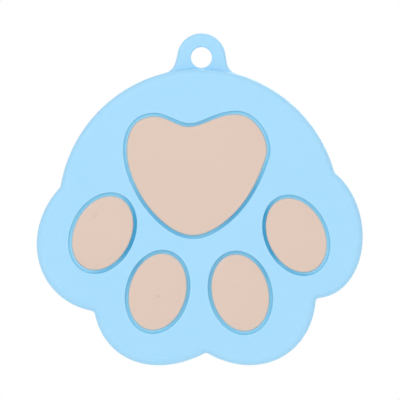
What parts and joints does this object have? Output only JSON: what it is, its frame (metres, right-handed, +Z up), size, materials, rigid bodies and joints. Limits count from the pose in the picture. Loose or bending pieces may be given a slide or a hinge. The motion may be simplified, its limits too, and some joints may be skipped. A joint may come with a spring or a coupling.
{
  "type": "paw washer cup",
  "caption": "Paw-shaped soft cup with inlaid pads, a hanging lug and a pull-out mat of soft bristles for washing a pet's paws.",
  "frame": {"origin": "centre of the hanging hole, at the middle of the lug's thickness", "axes": "+Z up with the cup hung by its lug, paw face towards -Y, open end and hole axis towards +Y, +X to the right seen from the front"},
  "size_m": [0.1051, 0.0302, 0.107],
  "materials": {
    "cup_silicone": "matte",
    "pad_silicone": "matte",
    "brush_silicone": "matte"
  },
  "bodies": {
    "cup": {"cup_shell": "cup_silicone", "heart_pad": "pad_silicone", "toe_pad_outer_left": "pad_silicone", "toe_pad_inner_left": "pad_silicone", "toe_pad_inner_right": "pad_silicone", "toe_pad_outer_right": "pad_silicone"},
    "brush": {"brush_mat": "brush_silicone", "bristles": "brush_silicone"}
  },
  "joints": [
    {"name": "brush_pull_out", "type": "slide", "parent": "cup", "child": "brush", "axis": [0, 1, 0], "range_m": [0, 0.035]}
  ]
}
